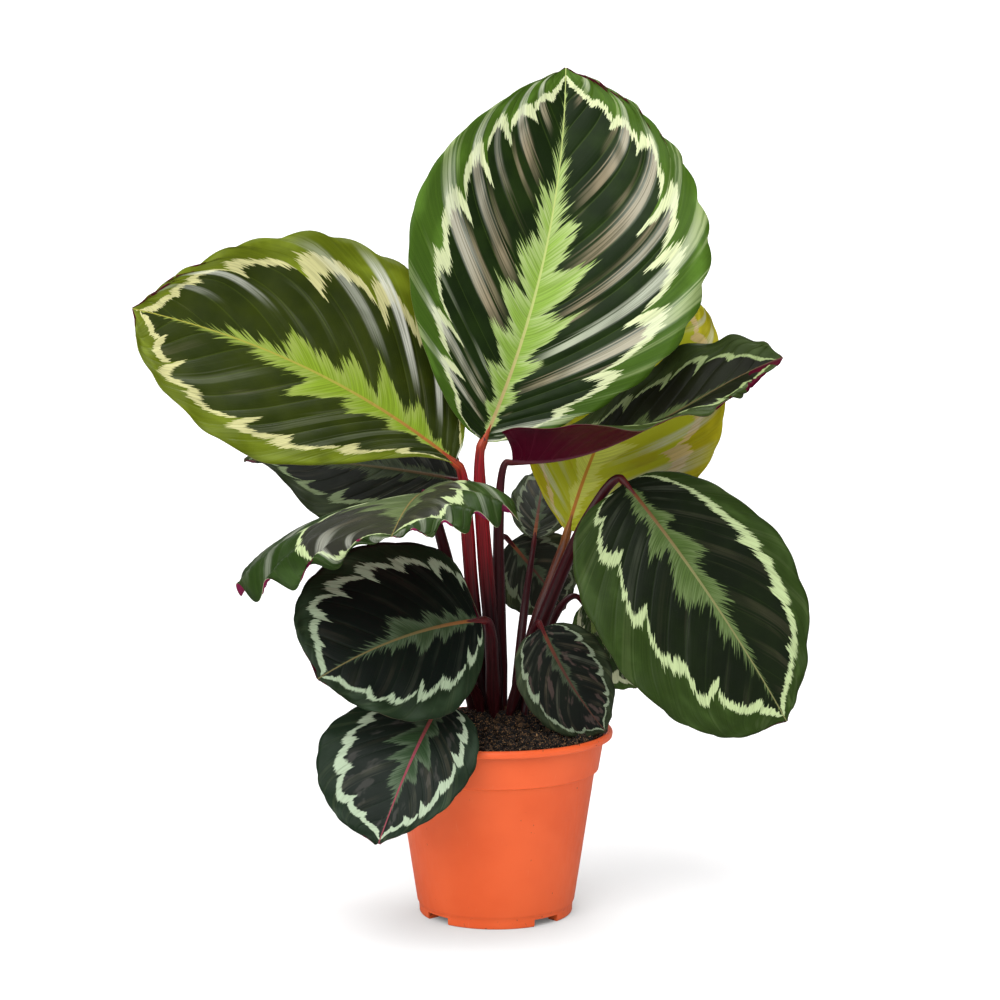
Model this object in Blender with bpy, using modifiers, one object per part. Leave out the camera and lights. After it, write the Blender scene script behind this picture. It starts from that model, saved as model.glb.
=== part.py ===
"""Potted calathea: a round plastic nursery pot, its soil, and thirteen broad leaves on bare stalks.

Metres, +Z up. The origin is the centre of the pot's foot, the pot's axis is Z, and the plant's
front is -Y. Every leaf is one blade and one stalk; the stalks stand in plain holes in the soil.
"""
import math

import bmesh
import bpy
import numpy as np
from mathutils import Vector

MM = 0.001
GAP = 0.3                       # clearance between neighbouring pieces, mm
SHARP_ANGLE = 40.0              # edges sharper than this, in degrees, stay crisp

# Pot, mm. A nursery pot is named by the width of its rim: this one is 140 mm.
RIM_RADIUS = 70.0
POT_HEIGHT = 111.0
WALL = 1.4
COLLAR_TOP = (64.6, 106.4)      # radius, height on the outside
COLLAR_BOTTOM = (61.6, 87.4)
BODY_TOP = (59.2, 86.2)
BODY_BOTTOM = (47.2, 7.0)
FOOT_RADIUS = 44.4
RECESS_OUTER = 38.4             # ring-shaped hollow under the floor
RECESS_INNER = 16.0
RECESS_DEPTH = 4.6
FLOOR_TOP = 6.2
POT_SEGMENTS = 56
NOTCH_ANGLES = (-139.0, -49.0, 41.0, 131.0)     # degrees from +X
NOTCH_WIDTH = 18.0
NOTCH_HEIGHT = 4.4
DRAIN_COUNT = 6
DRAIN_RADIUS = 3.0
DRAIN_CIRCLE = 27.0

# Soil, mm
SOIL_TOP = 120.0
SOIL_SEGMENTS = 40
HOLE_FLOOR = 99.7               # height of the bottom of each stalk's hole
STALK_FOOT = HOLE_FLOOR + GAP
STALK_STRAIGHT = 121.0          # a stalk is upright up to here, just above the soil
STALK_END = 2.5                 # length of its last, straight bit under the blade

# Blades, mm
BLADE_THICKNESS = 0.8
MIDRIB_THICKNESS = 1.8
BASE_HALF_WIDTH = 1.9
JOINT_GAP = 0.55                # between the end of a stalk and its blade
TIP_HALF_WIDTH = 0.5
VEIN_BEND = 2.2                 # how far the side veins run on towards the tip
VEIN_CURVE = 1.35

# Leaf colours, linear RGB
BRIGHT = (0.10, 0.22, 0.02)
OLIVE = (0.20, 0.24, 0.02)
DARK = (0.015, 0.04, 0.012)
GREY = (0.05, 0.07, 0.05)
RED_STALK = (0.25, 0.02, 0.015)
BROWN_STALK = (0.16, 0.04, 0.015)


def leaf(base, tip, face, halves, forms, root, rise, neck, radii, color, stalk=RED_STALK,
         arch=0.0, curl=0.0, sway=0.0, twist=(0.0, 0.0), cups=((0, 0), (0, 0)), fold=0.0,
         wave=(1.0, 4, 0.0, 1.0), lead=(0.0, 0.0), grid=(16, 3)):
    """One leaf's dimensions.

    base, tip: ends of the blade, mm. face: the way its upper side faces.
    halves: widest half-width left and right of the midrib, mm, and forms how each half narrows.
    arch, curl, sway, lead: bow of the midrib and slant of the halves, as fractions of the length.
    twist, cups, fold: degrees, at the base and at the tip. wave: height, count and phases.
    root: where the stalk stands. rise: the point that its lower half leans to.
    neck: length over which its top turns into the midrib. radii: at its foot and at its top.
    """
    return dict(locals())


LEAVES = {
    # crown leaf, upright and facing the front
    "leaf01": leaf(base=(-7, 5, 283), tip=(42, 50, 501.5), face=(0.22, -0.92, 0.22),
                   halves=(90, 96), forms=((1.0, 0.58, 0.74), (1.08, 0.75, 0.66)),
                   root=(1, 1), rise=(-5, 1, 200), neck=12, radii=(3.1, 2.7),
                   color=BRIGHT, arch=0.03, sway=0.045, cups=((8, 8), (5, 5)), fold=14,
                   wave=(2.0, 6, 0.0, 1.0), grid=(24, 4)),
    # big leaf to the left, facing up and to the front
    "leaf02": leaf(base=(-24, -3, 271), tip=(-206, -35, 362), face=(-0.15, -0.8, 0.6),
                   halves=(73, 84), forms=((1.3, 1.0, 0.41), (0.9, 0.75, 0.84)),
                   root=(-6, 5), rise=(-18, 4, 200), neck=8, radii=(3.1, 2.6),
                   color=OLIVE, arch=0.02, sway=0.055, cups=((10, 10), (10, 10)), fold=5,
                   wave=(2.0, 6, 0.0, 1.0), grid=(24, 4)),
    # half-rolled leaf to the right, its underside showing
    "leaf03": leaf(base=(10, 13, 270), tip=(168, 14, 331), face=(-0.25, 0.1, 1.0),
                   halves=(41, 58), forms=((0.95, 0.55, 0.45), (0.8, 0.9, 0.35)),
                   root=(4, 9), rise=(0, 12, 222), neck=6, radii=(3.0, 1.9),
                   color=DARK, arch=-0.06, curl=0.03, twist=(10, -50), cups=((15, 0), (15, 0)),
                   fold=25, wave=(3.0, 5, 0.0, 1.0), lead=(0.0, -0.12), grid=(24, 4)),
    # yellow-green leaf behind, upright
    "leaf04": leaf(base=(44, 50, 224), tip=(120, 85, 367), face=(-0.1, -0.9, 0.4),
                   halves=(52, 70), forms=((0.95, 0.95, 0.5), (0.9, 0.66, 0.5)),
                   root=(14, 8), rise=(16, 14, 160), neck=25, radii=(3.1, 2.6),
                   color=OLIVE, stalk=BROWN_STALK, arch=0.02, sway=-0.05,
                   cups=((10, 10), (10, 10)), fold=5, wave=(2.0, 5, 0.0, 1.0), grid=(20, 4)),
    # big dark leaf hanging at the right
    "leaf05": leaf(base=(77, 5, 258), tip=(170, -25, 122), face=(0.25, -0.85, 0.4),
                   halves=(61, 71), forms=((0.97, 0.46, 0.66), (0.95, 0.3, 0.36)),
                   root=(9, 0), rise=(38, 9, 212), neck=11, radii=(3.1, 2.3),
                   color=DARK, arch=0.05, fold=-3, wave=(2.0, 5, 0.0, 1.0), grid=(24, 4)),
    # small dark leaf over the front right of the rim
    "leaf06": leaf(base=(27, -28, 176), tip=(64, -20, 114), face=(0.1, -0.8, 0.5),
                   halves=(28, 29), forms=((0.85, 0.5, 0.5), (0.85, 0.4, 0.6)),
                   root=(8, -9), rise=(16, -10, 152), neck=5, radii=(2.2, 1.7),
                   color=DARK, arch=0.03, sway=0.05),
    # small leaf behind the big right one
    "leaf07": leaf(base=(54, 40, 180), tip=(86, 45, 129), face=(0.1, -0.8, 0.5),
                   halves=(22, 24), forms=((0.95, 0.55, 0.5), (0.95, 0.55, 0.5)),
                   root=(17, -1), rise=(26, 14, 165), neck=14, radii=(2.2, 1.6),
                   color=GREY, arch=0.05),
    # large leaf lying flat at the left, pointing to the front
    "leaf08": leaf(base=(-42, -4, 253), tip=(-55, -150, 246), face=(-0.05, 0.0, 1.0),
                   halves=(66, 118), forms=((0.95, 0.55, 0.5), (0.95, 0.55, 0.5)),
                   root=(-14, 9), rise=(-20, 12, 180), neck=30, radii=(3.1, 2.4),
                   color=DARK, arch=0.03, cups=((-110, -70), (-38, -75)), fold=22,
                   wave=(6.0, 6, 0.0, 1.4), lead=(0.0, -0.1), twist=(-22, -14), grid=(28, 4)),
    # round dark leaf at the left
    "leaf09": leaf(base=(-9, -36, 182), tip=(-98, -88, 158), face=(-0.15, -0.9, 0.35),
                   halves=(51, 59), forms=((1.0, 0.55, 0.5), (1.0, 0.2, 0.27)),
                   root=(-1, -9), rise=(-3, -20, 168), neck=6, radii=(3.0, 2.3),
                   color=DARK, arch=0.05, sway=0.04, wave=(1.5, 4, 0.0, 1.0), grid=(22, 4)),
    # dark leaf hanging in front of the pot
    "leaf10": leaf(base=(-32, -50, 136), tip=(-65, -98, 67), face=(-0.1, -0.9, 0.4),
                   halves=(34, 52), forms=((0.8, 0.45, 0.7), (1.08, 0.45, 0.40)),
                   root=(-9, -7), rise=(-12, -14, 150), neck=16, radii=(2.2, 1.8),
                   color=DARK, arch=0.1, wave=(1.5, 4, 0.0, 1.0), lead=(0.0, 0.02), grid=(18, 4)),
    # small grey leaf behind
    "leaf11": leaf(base=(24, 70, 217), tip=(31, 110, 255), face=(0.0, -0.6, 0.7),
                   halves=(17, 20), forms=((0.95, 0.55, 0.5), (0.95, 0.55, 0.5)),
                   root=(12, 17), rise=(14, 26, 165), neck=16, radii=(2.2, 1.5),
                   color=GREY, arch=0.05),
    # small dark leaf hanging behind the stalks
    "leaf12": leaf(base=(9, 78, 213), tip=(42, 86, 171), face=(0.0, -0.9, 0.3),
                   halves=(28, 26), forms=((0.95, 0.55, 0.5), (0.95, 0.55, 0.5)),
                   root=(3, 19), rise=(0, 40, 190), neck=12, radii=(2.2, 1.6),
                   color=GREY, arch=0.05),
    # dark leaf under the big left one
    "leaf13": leaf(base=(-22, 48, 255), tip=(-155, 80, 264), face=(-0.1, -0.75, 0.6),
                   halves=(42, 45), forms=((0.9, 0.5, 2.2), (0.95, 0.55, 0.5)),
                   root=(-4, 13), rise=(-5, 26, 190), neck=16, radii=(2.8, 2.2),
                   color=DARK, arch=0.05, wave=(2.0, 5, 0.0, 1.0), grid=(20, 4)),
}


def clear_scene():
    for obj in list(bpy.data.objects):
        bpy.data.objects.remove(obj, do_unlink=True)


def new_collection(name):
    group = bpy.data.collections.new(name)
    bpy.context.scene.collection.children.link(group)
    return group


def material(name, color, roughness):
    mat = bpy.data.materials.new(name)
    mat.use_nodes = True
    shader = mat.node_tree.nodes["Principled BSDF"]
    shader.inputs["Base Color"].default_value = (*color, 1.0)
    shader.inputs["Roughness"].default_value = roughness
    return mat


def mesh_object(name, bm, group, mat=None, place=(0.0, 0.0, 0.0)):
    """Object from a bmesh drawn about its own origin, which stands at place (mm)."""
    mesh = bpy.data.meshes.new(name)
    bm.to_mesh(mesh)
    bm.free()
    obj = bpy.data.objects.new(name, mesh)
    obj.location = Vector(place) * MM
    group.objects.link(obj)
    if mat:
        mesh.materials.append(mat)
        mesh.shade_smooth()
        mesh.set_sharp_from_angle(angle=math.radians(SHARP_ANGLE))
    return obj


def turned(name, profile, segments, group, mat):
    """Solid of revolution from a profile of (radius, height) points, drawn on +X.

    The profile starts on the axis inside or on top and comes down the outer side.
    """
    bm = bmesh.new()
    verts = [bm.verts.new((r * MM, 0.0, z * MM)) for r, z in profile]
    for a, b in zip(verts, verts[1:]):
        bm.edges.new((a, b))
    obj = mesh_object(name, bm, group, mat)
    screw = obj.modifiers.new("turn", "SCREW")
    screw.axis = "Z"
    screw.steps = segments
    screw.render_steps = segments
    screw.use_merge_vertices = True
    screw.merge_threshold = 0.00005
    return obj


def subtract(obj, cutter):
    cutter.hide_render = True
    cutter.display_type = "WIRE"
    cut = obj.modifiers.new("cut", "BOOLEAN")
    cut.operation = "DIFFERENCE"
    cut.solver = "EXACT"
    cut.object = cutter


def make_pot(group, cutters):
    lip = [(RIM_RADIUS - 2.0, POT_HEIGHT), (RIM_RADIUS - 0.7, POT_HEIGHT - 0.5),
           (RIM_RADIUS, POT_HEIGHT - 1.8), (RIM_RADIUS - 0.3, POT_HEIGHT - 3.9),
           (RIM_RADIUS - 1.2, POT_HEIGHT - 4.4)]
    inside = [(0.0, FLOOR_TOP), (BODY_BOTTOM[0] - 3.0, FLOOR_TOP),
              (BODY_BOTTOM[0] - WALL, FLOOR_TOP + 1.4), (BODY_TOP[0] - WALL, BODY_TOP[1]),
              (COLLAR_BOTTOM[0] - WALL, COLLAR_BOTTOM[1] + 1.2),
              (COLLAR_TOP[0] - WALL, COLLAR_TOP[1] - 0.4), (RIM_RADIUS - 3.0, POT_HEIGHT - 0.8)]
    outside = [COLLAR_TOP, COLLAR_BOTTOM, (COLLAR_BOTTOM[0] - 0.6, COLLAR_BOTTOM[1] - 1.0),
               BODY_TOP, BODY_BOTTOM, (BODY_BOTTOM[0] - 0.8, 3.4), (FOOT_RADIUS + 0.9, 0.9),
               (FOOT_RADIUS, 0.0)]
    under = [(RECESS_OUTER, 0.0), (RECESS_OUTER - 0.6, RECESS_DEPTH),
             (RECESS_INNER + 0.4, RECESS_DEPTH), (RECESS_INNER, 0.0), (0.0, 0.0)]
    pot = turned("pot", inside + lip + outside + under, POT_SEGMENTS, group,
                 material("pot_plastic", (0.80, 0.13, 0.03), 0.42))
    bm = bmesh.new()
    for angle in NOTCH_ANGLES:
        made = bmesh.ops.create_cube(bm, size=1.0)["verts"]
        turn = math.radians(angle)
        for v in made:
            x = (RECESS_OUTER + 5.0 + v.co.x * 14.0) * MM
            y = v.co.y * NOTCH_WIDTH * MM
            z = (v.co.z * 2.0 * NOTCH_HEIGHT) * MM
            v.co = (x * math.cos(turn) - y * math.sin(turn),
                    x * math.sin(turn) + y * math.cos(turn), z)
    for i in range(DRAIN_COUNT):
        made = bmesh.ops.create_cone(bm, cap_ends=True, segments=12, radius1=DRAIN_RADIUS * MM,
                                     radius2=DRAIN_RADIUS * MM, depth=6.0 * MM)["verts"]
        turn = 2.0 * math.pi * i / DRAIN_COUNT
        place = Vector((math.cos(turn), math.sin(turn), 0.0)) * DRAIN_CIRCLE * MM
        for v in made:
            v.co += place + Vector((0.0, 0.0, 0.5 * (RECESS_DEPTH + FLOOR_TOP) * MM))
    subtract(pot, mesh_object("pot_cuts", bm, cutters))


def make_soil(group, cutters):
    mound = [(0.0, SOIL_TOP), (14.0, SOIL_TOP - 1.2), (26.0, SOIL_TOP - 4.2),
             (38.0, SOIL_TOP - 7.8), (50.0, SOIL_TOP - 10.2), (65.2, SOIL_TOP - 11.4)]
    side = [(COLLAR_TOP[0] - WALL - GAP, COLLAR_TOP[1] - 0.6),
            (COLLAR_BOTTOM[0] - WALL - GAP, COLLAR_BOTTOM[1] + 1.4),
            (BODY_TOP[0] - WALL - GAP, BODY_TOP[1] + 0.3),
            (BODY_BOTTOM[0] - WALL - GAP - 0.1, FLOOR_TOP + 1.8),
            (BODY_BOTTOM[0] - 3.4, FLOOR_TOP + GAP), (0.0, FLOOR_TOP + GAP)]
    soil = turned("soil", mound + side, SOIL_SEGMENTS, group,
                  material("soil_peat", (0.03, 0.018, 0.01), 0.95))
    bm = bmesh.new()
    for spec in LEAVES.values():
        radius = (spec["radii"][0] + GAP) * MM
        depth = (SOIL_TOP + 8.0 - HOLE_FLOOR) * MM
        made = bmesh.ops.create_cone(bm, cap_ends=True, segments=12, radius1=radius,
                                     radius2=radius, depth=depth)["verts"]
        place = Vector((spec["root"][0] * MM, spec["root"][1] * MM, HOLE_FLOOR * MM + depth / 2))
        for v in made:
            v.co += place
    subtract(soil, mesh_object("soil_holes", bm, cutters))


def unit(v):
    return v / np.linalg.norm(v, axis=-1, keepdims=True)


def leaf_frame(spec):
    """Base point, chord, length, and the directions along, out of and across the blade."""
    base = np.array(spec["base"], float)
    chord = np.array(spec["tip"], float) - base
    length = np.linalg.norm(chord)
    along = chord / length
    out = np.array(spec["face"], float)
    out = unit(out - (out @ along) * along)
    return base, chord, length, along, out, np.cross(along, out)


def midrib(spec, u):
    """Points of the midrib, mm; u runs from 0 at the base to 1 at the tip."""
    base, chord, length, _, out, across = leaf_frame(spec)
    u = np.asarray(u, float)[..., None]
    bow = 4.0 * u * (1.0 - u)
    lift = spec["arch"] * bow + spec["curl"] * 2.0 * bow * (2.0 * u - 1.0)
    return base + chord * u + out * length * lift + across * length * spec["sway"] * bow


def half_width(spec, u, side):
    a, near, far = spec["forms"][side > 0]
    u = np.clip(u, 0.0, 1.0)
    belly = np.sin(math.pi * u ** a) ** (near + (far - near) * u)
    return spec["halves"][side > 0] * belly + BASE_HALF_WIDTH * (1.0 - u) + TIP_HALF_WIDTH * u


def blade_point(spec, s, t, side):
    """Points of the blade's upper face, mm.

    s is where a side vein leaves the midrib, t runs from the midrib to the margin along that
    vein, and side is -1 left or +1 right of the midrib with the tip held upwards.
    """
    u = s + (1.0 - (1.0 - s) ** VEIN_BEND - s) * t ** VEIN_CURVE
    _, _, length, _, _, across = leaf_frame(spec)
    step = 0.001
    ahead = unit(midrib(spec, u + step) - midrib(spec, u - step))
    across = unit(across - (ahead @ across)[..., None] * ahead)
    out = np.cross(across, ahead)
    turn = np.radians(spec["twist"][0] * (1.0 - u) + spec["twist"][1] * u)[..., None]
    across, out = across * np.cos(turn) + out * np.sin(turn), out * np.cos(turn) - across * np.sin(turn)
    cup = spec["cups"][side > 0]
    bend = np.radians(cup[0] * (1.0 - u) + cup[1] * u)
    bend = np.where(np.abs(bend) < 0.001, 0.001, bend)
    fold = math.radians(spec["fold"])
    radius = half_width(spec, u, side) / bend
    reach = radius * (np.sin(fold + bend * t) - math.sin(fold))
    rise = radius * (math.cos(fold) - np.cos(fold + bend * t))
    height, count, left_phase, right_phase = spec["wave"]
    fade = np.sin(math.pi * np.clip(s, 0.0, 1.0) ** 0.8) ** 0.6
    phase = right_phase if side > 0 else left_phase
    rise = rise + height * t ** 2.5 * fade * np.sin(2.0 * math.pi * count * s + phase)
    slant = spec["lead"][side > 0] * length * t ** 2
    slant = slant * np.minimum(1.0, 12.0 * u) * np.minimum(1.0, 12.0 * (1.0 - s))
    return (midrib(spec, u) + across * (side * reach)[..., None] + out * rise[..., None]
            + ahead * slant[..., None])


def make_blade(name, spec, group):
    """Blade as a triangulated sheet given its thickness, with a stout midrib on its underside."""
    columns, rows = spec["grid"]
    bm = bmesh.new()
    bmesh.ops.create_grid(bm, x_segments=columns, y_segments=2 * rows, size=1.0)
    bm.verts.ensure_lookup_table()
    s = np.array([0.5 * (v.co.x + 1.0) for v in bm.verts]) ** 1.35
    v_across = np.array([v.co.y for v in bm.verts])
    t = np.abs(v_across)
    left = blade_point(spec, s, t, -1)
    right = blade_point(spec, s, t, 1)
    for i, vert in enumerate(bm.verts):
        vert.co = Vector(((right if v_across[i] > 0 else left)[i] - spec["base"]) * MM)
    bmesh.ops.triangulate(bm, faces=bm.faces[:])
    bm.normal_update()
    facing = sum((f.normal * f.calc_area() for f in bm.faces), Vector())
    if facing.dot(Vector(leaf_frame(spec)[4])) < 0.0:
        bmesh.ops.reverse_faces(bm, faces=bm.faces[:])
    obj = mesh_object(name + "_blade", bm, group, material(name + "_green", spec["color"], 0.35),
                      spec["base"])
    rib = obj.vertex_groups.new(name="midrib")
    for i, width in enumerate(t):
        if width < 0.01:
            rib.add([i], max(0.0, 1.0 - s[i]), "REPLACE")
    shell = obj.modifiers.new("thickness", "SOLIDIFY")
    shell.thickness = MIDRIB_THICKNESS * MM
    shell.vertex_group = "midrib"
    shell.thickness_vertex_group = BLADE_THICKNESS / MIDRIB_THICKNESS
    shell.offset = -1.0
    shell.use_rim = True


def stalk_line(spec, steps=12):
    """Centre line of a stalk, mm: upright in the soil, then one curve to the blade's base."""
    x, y = spec["root"]
    start = np.array((x, y, STALK_STRAIGHT), float)
    rise = np.array(spec["rise"], float)
    last = unit(midrib(spec, 0.002) - midrib(spec, 0.0))
    under = unit(np.cross(leaf_frame(spec)[5], last))
    end = midrib(spec, 0.0) - last * JOINT_GAP - under * 0.5 * MIDRIB_THICKNESS
    top = end - last * STALK_END
    reach = top - last * spec["neck"]
    points = [np.array((x, y, STALK_FOOT), float)]
    for i in range(steps + 1):
        k = i / steps
        points.append(start * (1 - k) ** 3 + 3 * rise * k * (1 - k) ** 2
                      + 3 * reach * k * k * (1 - k) + top * k ** 3)
    return points + [end]


def make_stalk(name, spec, group):
    foot_point = np.array((*spec["root"], STALK_FOOT))
    points = [point - foot_point for point in stalk_line(spec)]
    curve = bpy.data.curves.new(name + "_line", "CURVE")
    curve.dimensions = "3D"
    curve.bevel_depth = MM
    curve.bevel_resolution = 2
    curve.use_fill_caps = True
    spline = curve.splines.new("POLY")
    spline.points.add(len(points) - 1)
    foot, top = spec["radii"]
    for i, point in enumerate(points):
        k = max(0.0, (i - 1) / (len(points) - 2))
        spline.points[i].co = (*(point * MM), 1.0)
        spline.points[i].radius = foot + (top - foot) * min(1.0, 1.6 * k)
    drawn = bpy.data.objects.new(name + "_curve", curve)
    group.objects.link(drawn)
    mesh = bpy.data.meshes.new_from_object(drawn.evaluated_get(bpy.context.evaluated_depsgraph_get()))
    bpy.data.objects.remove(drawn, do_unlink=True)
    bm = bmesh.new()
    bm.from_mesh(mesh)
    bmesh.ops.remove_doubles(bm, verts=bm.verts[:], dist=0.00001)
    bmesh.ops.recalc_face_normals(bm, faces=bm.faces[:])
    mesh_object(name + "_stalk", bm, group, material(name + "_red", spec["stalk"], 0.35),
                foot_point)


def main():
    clear_scene()
    plant = new_collection("potted_calathea")
    cutters = new_collection("cutters")
    make_pot(plant, cutters)
    make_soil(plant, cutters)
    for name, spec in LEAVES.items():
        make_blade(name, spec, plant)
        make_stalk(name, spec, plant)
    origin = bpy.data.objects.new("plant_origin", None)
    plant.objects.link(origin)
    for obj in plant.objects:
        if obj.type == "MESH":
            obj.parent = origin


main()
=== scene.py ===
import math
import random

import bmesh
import bpy
import numpy as np
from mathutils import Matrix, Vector, noise


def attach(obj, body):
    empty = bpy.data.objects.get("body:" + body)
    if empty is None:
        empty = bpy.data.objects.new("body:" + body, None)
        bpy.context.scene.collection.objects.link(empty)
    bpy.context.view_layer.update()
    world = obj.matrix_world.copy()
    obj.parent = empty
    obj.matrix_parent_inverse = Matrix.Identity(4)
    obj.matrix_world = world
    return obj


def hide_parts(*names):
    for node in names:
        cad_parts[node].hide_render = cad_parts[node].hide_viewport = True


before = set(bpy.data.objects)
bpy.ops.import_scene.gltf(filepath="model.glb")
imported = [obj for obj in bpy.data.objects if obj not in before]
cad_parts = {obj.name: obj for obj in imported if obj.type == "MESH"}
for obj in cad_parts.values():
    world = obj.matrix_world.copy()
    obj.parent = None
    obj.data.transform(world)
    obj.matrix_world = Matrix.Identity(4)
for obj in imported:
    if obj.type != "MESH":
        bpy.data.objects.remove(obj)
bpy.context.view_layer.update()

# Lengths are millimetres and angles degrees, apart from the materials' own lengths, the stage and
# the lamps, which are in metres. MM turns millimetres into Blender's metres.
MM = 0.001

# The pot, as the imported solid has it; pairs are a radius and a height
RIM = (70.0, 111.0)
WALL = 1.4
COLLAR_TOP = (64.6, 106.4)
COLLAR_BOTTOM = (61.6, 87.4)
BODY_TOP = (59.2, 86.2)
BODY_BOTTOM = (47.2, 7.0)
FOOT_RADIUS = 44.4
RECESS_OUTER = 38.4
RECESS_INNER = 16.0
RECESS_DEPTH = 4.6
FLOOR_TOP = 6.2
NOTCH_ANGLES = (-139, -49, 41, 131)
NOTCH_WIDTH = 18.0
NOTCH_HEIGHT = 4.4
DRAIN_COUNT = 6
DRAIN_RADIUS = 3.0
DRAIN_CIRCLE = 27.0
POT_STEPS = 160
SHARP_ANGLE = 38.0  # creases steeper than this stay sharp

# The soil
SOIL_TOP = 120.0
SOIL_PROFILE = ((0.0, 0.0), (14.0, -1.2), (26.0, -4.2), (38.0, -7.8), (50.0, -10.2), (66.0, -11.4))
SOIL_RADIUS = 64.4
SOIL_BOTTOM = 98.0
SOIL_RINGS = 44
SOIL_STEPS = 168
CRUMBS = 4096  # this count and the next two are powers of two
FIBRES = 512
GRAINS = 512

# The blades
BLADE_THICKNESS = 0.6
EDGE_THICKNESS = 0.3
MIDRIB_THICKNESS = 1.8
MIDRIB_SPREAD = 2.4  # how far from its middle the midrib thins into the blade
RIDGE_HEIGHT = 0.35  # of the midrib on the upper side
RIDGE_WIDTH = 1.1
BASE_HALF_WIDTH = 1.9
TIP_HALF_WIDTH = 0.5
VEIN_SPREAD = 0.9  # the side veins leave the midrib low and sweep forward
VEIN_BEND = 4.0
VEIN_CURVE = (1.95, 0.5)  # how late a vein turns forward, near the base and the tip
VEIN_CROWDING = 0.5  # how the side veins crowd towards the base
MARGIN_BEND = 2.2  # how the margin's waves crowd towards the tip
TIP_REACH = 2.5  # the drawn-out point of a blade
COLUMN_CROWDING = 1.35  # the mesh is finer at the base and along the midrib
ROW_CROWDING = 1.4

# The stalks; shares run from 0 at the foot to 1 at the end of the run under the blade
STALK_FOOT = 100.0
STALK_STRAIGHT = 121.0
STALK_END = 2.5
STALK_STEPS = 44
STALK_SIDES = 18
SHEATH_START = (0.02, 0.1)  # shares where the flattened sheath grows in
SHEATH_END = (0.82, 0.48)  # shares where it is gone and where it is still whole
JOINT_PLACE = 0.86  # share of the swollen joint
JOINT_GAP = 0.55
RIB_RUN = 16.0  # how far the stalk runs on under the blade
RIB_STATIONS = (0.15, 0.35, 0.6, 0.85, 1.0)
RIB_END_RADIUS = 0.5

# The camera, which stands in front of the pot and looks slightly down
CAMERA_PLACE = (2.5, -1490.0, 415.0)
CAMERA_PITCH = 6.39
CAMERA_LENS = 91.08
SENSOR = 36.0

# The floor, in metres, with its curve up behind the plant
STAGE_HALF = 4.0
CURVE_START = 1.5
CURVE_RUN = 1.5
CURVE_RADIUS = 0.955

# The light
AMBIENT = 0.42  # light from all round, apart from the lamps
MIRRORED = 0.1  # how bright the surroundings are in reflections
KEY_FROM = (-0.44, -0.78, 1.0)
KEY_STRENGTH = 3.1
KEY_SPREAD = 75.0
PLANT_MIDDLE = (0.0, 0.0, 0.25)  # in metres

# How a plain half of a blade narrows: place of its widest part, and fullness at base and tip
OVAL = (0.95, 0.55, 0.5)


def leaf(base, tip, face, halves, root, rise, neck, radii, look, forms=(OVAL, OVAL),
         slot="leaf_dark", stalk="stalk_red", arch=0.05, curl=0.0, sway=0.0, twist=(0.0, 0.0),
         cups=((0, 0), (0, 0)), fold=0.0, wave=(1.0, 4, 0.0, 1.0), lead=(0.0, 0.0), veins=12,
         ripple=0.3, frills=(0.8, 0.8), fine=(96, 22)):
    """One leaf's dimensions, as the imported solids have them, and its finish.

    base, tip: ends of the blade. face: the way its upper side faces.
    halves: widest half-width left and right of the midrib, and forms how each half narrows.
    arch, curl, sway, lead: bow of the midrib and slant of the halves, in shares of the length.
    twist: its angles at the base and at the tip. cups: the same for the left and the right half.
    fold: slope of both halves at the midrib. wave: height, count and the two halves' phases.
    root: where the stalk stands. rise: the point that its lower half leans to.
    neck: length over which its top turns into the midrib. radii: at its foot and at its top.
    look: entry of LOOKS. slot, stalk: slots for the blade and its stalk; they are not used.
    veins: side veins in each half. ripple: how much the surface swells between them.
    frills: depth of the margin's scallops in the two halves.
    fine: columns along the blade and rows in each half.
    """
    return dict(locals())


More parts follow.
